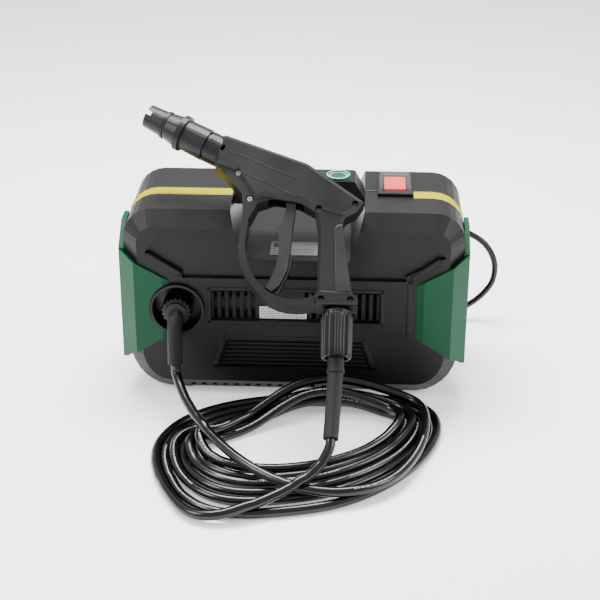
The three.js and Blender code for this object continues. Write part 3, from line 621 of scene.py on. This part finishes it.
def make_mains():
    line = mains_line()
    cord = tube("mains_cord", line, MAINS_R, "hose_rubber", sides=12)
    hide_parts("power_cord", "cord_coil")
    float(distance_along(line)[-1])


make_mains()


# ---------------------------------------------------------------- details

GUN_ORIGIN = at(55.6, -73.4, 234.7)
LEAN = math.sqrt(0.5)      # the gun leans back by 45 degrees
RECESS = -72.6             # just behind the floor of the front's recesses, where details are rooted


def on_gun(x, y, z):
    """A point of the gun's plane, in mm: x along the width, y up the grip, z out of its face."""
    return GUN_ORIGIN + Vector((x, LEAN * (y - z), LEAN * (y + z))) * MM


def on_front(x, z, y):
    return at(x, y, z)


def rect(x0, y0, x1, y1):
    return [(x0, y0), (x1, y0), (x1, y1), (x0, y1)]


def disc(x, y, radius, sides=24):
    angles = [2 * math.pi * k / sides for k in range(sides)]
    return [(x + radius * math.cos(a), y + radius * math.sin(a)) for a in angles]


def strip(p, q, width):
    """The outline of a straight bar from p to q."""
    p, q = np.array(p, float), np.array(q, float)
    across = np.array([-(q - p)[1], (q - p)[0]])
    across *= 0.5 * width / np.linalg.norm(across)
    return [tuple(p - across), tuple(q - across), tuple(q + across), tuple(p + across)]


def path_strips(points, width):
    """Bars from point to point, with a round piece at each corner between them."""
    bars = [strip(p, q, width) for p, q in zip(points, points[1:])]
    return bars + [disc(*p, width / 2, 12) for p in points[1:-1]]


def crosses(spots, half, width):
    """Cross slots of screw heads: all the level strokes, then all the upright ones."""
    return ([strip((x - half, y), (x + half, y), width) for x, y in spots]
            + [strip((x, y - half), (x, y + half), width) for x, y in spots])


def prisms(name, outlines, low, high, place, finish, body="root", bevel=0.3, taper=0.0):
    """Flat parts of one piece, each a convex outline from low to high, smaller by taper at high."""
    verts, faces = [], []
    for outline in outlines:
        mid = np.mean(outline, axis=0)
        n, base = len(outline), len(verts)
        for height, inset in ((low, 0.0), (high, taper)):
            for p in outline:
                away = np.array(p) - mid
                q = mid + away * (1 - inset / max(np.linalg.norm(away), 0.01))
                verts.append(place(q[0], q[1], height))
        faces.append(tuple(range(base, base + n)))
        faces.append(tuple(range(base + n, base + 2 * n)))
        for k in range(n):
            j = (k + 1) % n
            faces.append((base + k, base + j, base + n + j, base + n + k))
    return mesh_piece(name, verts, faces, finish, body, bevel)


def lathe(name, rings, place, finish, body="root", sides=48, ribs=0, depth=0.0):
    """A closed ring of revolution. Each of rings is (radius, height, 1 where the ribs show)."""
    verts, faces = [], []
    count = ribs * 8 if ribs else sides
    for radius, height, fluted in rings:
        for k in range(count):
            a = 2 * math.pi * k / count
            r = radius
            if fluted:
                r -= depth * (0.5 + 0.5 * math.cos(ribs * a)) ** 2
            verts.append(place(r * math.cos(a), r * math.sin(a), height))
    for i in range(len(rings)):
        j = (i + 1) % len(rings)
        for k in range(count):
            m = (k + 1) % count
            faces.append((i * count + k, i * count + m, j * count + m, j * count + k))
    return mesh_piece(name, verts, faces, finish, body)


def dashes(name, x0, x1, top, rows, pitch, height, place, low, high, seed):
    """Rows of short strokes from x0 to x1, downwards from the top, in place of print."""
    draw = np.random.RandomState(seed)
    marks = []
    for row in range(rows):
        y = top - (row + 0.5) * pitch
        x = x0
        while x < x1 - 1:
            wide = min(draw.uniform(1.0, 4.2), x1 - x)
            marks.append(rect(x, y - height / 2, x + wide, y + height / 2))
            x += wide + draw.uniform(0.5, 1.0)
    return prisms(name, marks, low, high, place, "label_ink", bevel=0)


def label_details():
    """The rating plate between the louvres, and strokes on it and on the valley's label."""
    plate = prisms("rating_plate", [rect(-37, 97.2, 15, 111.5)], -73.05, -73.6, on_front, "label",
                   bevel=0.1)
    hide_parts("rating_label")
    dashes("rating_print", -35.5, 13.5, 110.6, 6, 2.1, 0.95, on_front, -73.55, -73.68, seed=3)
    dashes("valley_print", -23, 23, -46, 4, 4.2, 1.3, at, 170.5, 170.72, seed=8)
    prisms("valley_dark_field", [rect(-23.5, -44, -4, -31)], 170.5, 170.7, at, "label_ink", bevel=0)


def front_details():
    """Raised bars, rims, slats and louvres in the recesses of the front."""
    left_bar = [(-161.5, 174.5), (-121.5, 149.5)]
    right_bar = [(129, 79), (129, 149), (162.5, 174)]
    prisms("recess_bars", path_strips(left_bar, 7.5) + path_strips(right_bar, 7.5), RECESS, -79.4,
           on_front, "case_plastic", bevel=1.2, taper=2.4)

    rim = [(-86.5, 39), (-75.5, 74.8), (78.5, 74.8), (89.3, 39)]
    prisms("lower_rim", path_strips(rim, 4.6), RECESS, -78.9, on_front, "case_plastic", bevel=0.9,
           taper=1.2)
    slats = []
    for k in range(6):
        z = 40.5 + 5.2 * k
        pull = (z - 37) * 0.3   # the rim's ends lean in
        slats.append(strip((-83 + pull, z), (86 - pull, z), 2.8))
    prisms("lower_slats", slats, RECESS, -75.4, on_front, "case_plastic", bevel=0.7, taper=0.5)

    rim = [(-92.5, 93.6), (-92.5, 134.4), (98.5, 134.4), (98.5, 93.6), (-92.5, 93.6)]
    prisms("louvre_rim", path_strips(rim, 4.2), RECESS, -79.0, on_front, "case_plastic", bevel=0.9,
           taper=1.3)
    # a rounded nose on each louvre's bar, none behind the rating plate
    middles = [-86 + 8.4 * k + 4.2 for k in range(22)]
    noses = [strip((x, 98), (x, 130), 2.6) for x in middles if x < 96 and not -46 < x < 16]
    prisms("louvre_noses", noses, RECESS, -74.8, on_front, "case_plastic", bevel=0.8, taper=0.5)


def back_details():
    """The screws that hold the casing's halves together, seen from behind."""
    spots = ((-160, 60), (160, 60), (-158, 185), (158, 185))
    prisms("casing_screws", [disc(x, z, 3.9) for x, z in spots], 46.2, 50.5, on_front, "dark_steel",
           bevel=0.5)
    prisms("screw_slots", crosses(spots, 2.4, 0.9), 50.3, 50.75, on_front, "label_ink", bevel=0)


def ribbed_parts():
    outlet = lathe("outlet_nut_ribbed", [
        (9.2, -65.8, 0), (13.4, -65.8, 0), (14.2, -66.8, 0), (16.6, -68, 1), (16.9, -72, 1),
        (16.6, -86, 1), (16.0, -88.6, 1), (14.6, -89.4, 0), (12.6, -90.2, 0), (12.2, -93.4, 0),
        (6.2, -94.2, 0), (6.2, -84.2, 0), (9.2, -84, 0)],
        lambda a, b, h: at(-128 + a, h, 110 + b), "black_plastic", "outlet_nut", ribs=18, depth=1.7)
    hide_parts("outlet_nut")
    gun_nut = lathe("gun_nut_ribbed", [
        (8.0, -121.2, 0), (14.8, -121.2, 0), (15.6, -122.2, 0), (15.6, -125.6, 0),
        (17.0, -126.8, 1), (17.2, -131, 1), (16.6, -160, 1), (16.2, -169.5, 1), (15.4, -171.6, 1),
        (12.6, -172, 0), (12.2, -170.8, 0), (12.2, -163.4, 0), (8.0, -163.2, 0)],
        lambda a, b, h: on_gun(-5.5 + a, h, b), "black_plastic", "gun_hose_nut", ribs=14, depth=1.9)
    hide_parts("gun_hose_nut")
    lathe("gun_sleeve_ring", [(8.2, -183, 0), (9.3, -183.3, 0), (9.3, -187, 0), (8.2, -187.4, 0)],
          lambda a, b, h: on_gun(-5.6 + a, h, b), "rubber", "gun", sides=32)


def gun_details():
    pad = [(-7.4, -105), (7.2, -104), (4.4, -79), (1.8, -57), (-1.9, -28), (-6.8, -29),
           (-11.2, -33), (-9.8, -57)]
    for name, side in (("grip_pad", 1), ("grip_pad_rear", -1)):
        prisms(name, [pad], side * 14.0, side * 16.2, on_gun, "grip_plastic", "gun", bevel=0.8,
               taper=0.5)
    lines = path_strips([(-126, 53), (-108, 46.6), (-50, 21)], 1.0) + path_strips(
        [(-113, 30), (-75, 12.6), (-49, 0.5)], 1.0)
    prisms("barrel_lines", lines, 16.4, 17.35, on_gun, "gun_plastic", "gun", bevel=0.25)

    bright = [(-115, 30), (-101.5, 0.5)]
    dark = [(-27.5, -11), (11, -5), (0.5, -66), (-22.5, -112), (8, -112.5)]
    both = bright + dark

    def screws(name, spots, side, finish):
        prisms(name, [disc(x, y, 3.1, 16) for x, y in spots], side * 9.2, side * 11.4, on_gun,
               finish, "gun", bevel=0.5)

    screws("gun_screws_bright", bright, 1, "steel")
    screws("gun_screws_dark", dark, 1, "dark_steel")
    prisms("gun_screw_slots", crosses(both, 2, 0.8), 11.2, 11.55, on_gun, "label_ink", "gun",
           bevel=0)
    screws("gun_screws_rear", both, -1, "dark_steel")


def badge_details():
    """A pale ring round the badge's green field, and short strokes in place of lettering."""
    x, y = 47, -7.5
    lathe("badge_ring", [(11.6, 243.0, 0), (12.9, 243.0, 0), (12.9, 244.2, 0), (12.4, 244.5, 0),
                         (11.6, 244.2, 0)],
          lambda a, b, h: at(x + a, y + b, h), "mint_plastic", sides=48)
    count, inside, outside = 26, 8.6, 10.4
    strokes = []
    for k in range(count):
        a = 2 * math.pi * k / count
        strokes.append(strip((x + inside * math.cos(a), y + inside * math.sin(a)),
                             (x + outside * math.cos(a), y + outside * math.sin(a)), 0.9))
    prisms("badge_strokes", strokes, 242.6, 243.05, at, "white_plastic", bevel=0)


def make_rocker():
    """A shallow saddle, its front half standing higher than its rear. The outline is (y, z)."""
    saddle = [(-6.1, 223.5), (-3.3, 216.2), (16, 213.2), (35.4, 216.2), (38.0, 221), (37.6, 224.6),
              (36.4, 225.4), (17, 224.2), (-4.4, 227.6), (-5.4, 226.8)]
    rocker = prisms("rocker_saddle", [saddle], 98.5, 122.5, lambda a, b, h: at(h, a, b),
                    "red_plastic", "rocker", bevel=0.5)
    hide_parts("rocker")


def parting_beads():
    """A dark bead in the parting line, up each side and over each hump."""
    side_x, corner, top = 187, 34, 222   # the line's half width, its corner's radius, its height
    for name, side, inner_xs in (("parting_bead_left", -1, (130, 100, 70.5)),
                                 ("parting_bead_right", 1, (140, 110, 78.5))):
        line = [(side * side_x, z) for z in (100, 130, 160)]
        for degrees in range(0, 91, 6):
            a = math.radians(degrees)
            line.append((side * (side_x - corner + corner * math.cos(a)),
                         top - corner + corner * math.sin(a)))
        line += [(side * x, top) for x in inner_xs]
        tube(name, [at(x, -0.45, z) for x, z in line], 0.8 * MM, "label_ink", sides=10)


label_details()
front_details()
back_details()
ribbed_parts()
gun_details()
badge_details()
make_rocker()
parting_beads()


# ---------------------------------------------------------------- CAD pieces: finish and soft edges

# finish: the nodes that have it, and how far their edges are rounded, mm
PIECES = {
    "case_plastic": ("case_front case_rear handle_bar", 0.7),
    "green_plastic": ("guard_left guard_right", 0.6),
    "yellow_plastic": ("trim_strip_left trim_strip_right", 0.3),
    "rubber": ("foot_1 foot_2 foot_3 foot_4 cord_gland outlet_sleeve gun_sleeve", 0.3),
    # motor_housing is black partly for its own paint and partly as painted shade, darkening what
    # shows through the casing's slots; grip_pipe is black as painted shade, so that it does not
    # show inside the gun
    "black_plastic": ("outlet_cup switch_body inlet_connector plug capacitor pressure_switch "
                      "motor_cradle_1 motor_cradle_2 cooling_fan motor_end_plate motor_housing "
                      "grip_pipe", 0.4),
    "gun_plastic": ("gun_shell_front gun_shell_rear lance_coupler", 1.1),
    "grip_plastic": ("trigger trigger_lock", 0.8),
    "dark_green": ("handle_insert", 0.2),
    "badge_plastic": ("handle_badge", 0.2),
    "clear_plastic": ("switch_hood", 0.3),
    "grey_label": ("valley_label", 0.0),
    "steel": ("rotor swash_plate piston_1 piston_2 piston_3", 0.3),
    # the stator's dark steel is partly painted shade, darkening what shows through the casing's
    # slots
    "dark_steel": ("trigger_pin stator", 0.2),
    "aluminium": ("gear_case pump_head", 0.6),
    "brass": ("outlet_nipple unloader_valve gun_valve inlet_filter", 0.3),
    "copper": ("inlet_pipe outlet_pipe", 0.2),
}
CASING_ROUND = 3.0         # mm
ROUND_PIECES = "lance_coupler outlet_sleeve gun_sleeve gun_valve inlet_connector cord_gland"


def round_casing(name):
    """Rounds only the long outer edges of a casing half, which meet at a shallow angle."""
    obj = nodes[name]
    obj.modifiers.clear()
    shape = bmesh.new()
    shape.from_mesh(obj.data)
    weights = []
    for edge in shape.edges:
        depths = [abs(v.co.y / MM - PARTING) for v in edge.verts]
        outer = any(all(abs(d - level) < 0.1 for d in depths)
                    for level in (CASING_SHOULDER, CASING_DEPTH))
        bend = math.degrees(edge.calc_face_angle(0)) if len(edge.link_faces) == 2 else 0
        weights.append(1.0 if outer and 15 < bend < 75 else 0.0)
    shape.free()
    layer = obj.data.attributes.new("bevel_weight_edge", "FLOAT", "EDGE")
    layer.data.foreach_set("value", weights)
    mod = add_bevel(obj, CASING_ROUND, 4)
    mod.limit_method = "WEIGHT"
    mod.use_clamp_overlap = False
    shade(obj, 40)


for finish, (names, soft) in PIECES.items():
    for name in names.split():
        finish_piece(nodes[name], finish, bevel=soft)
round_casing("case_front")
round_casing("case_rear")
for name in ROUND_PIECES.split():
    shade(nodes[name], 50)
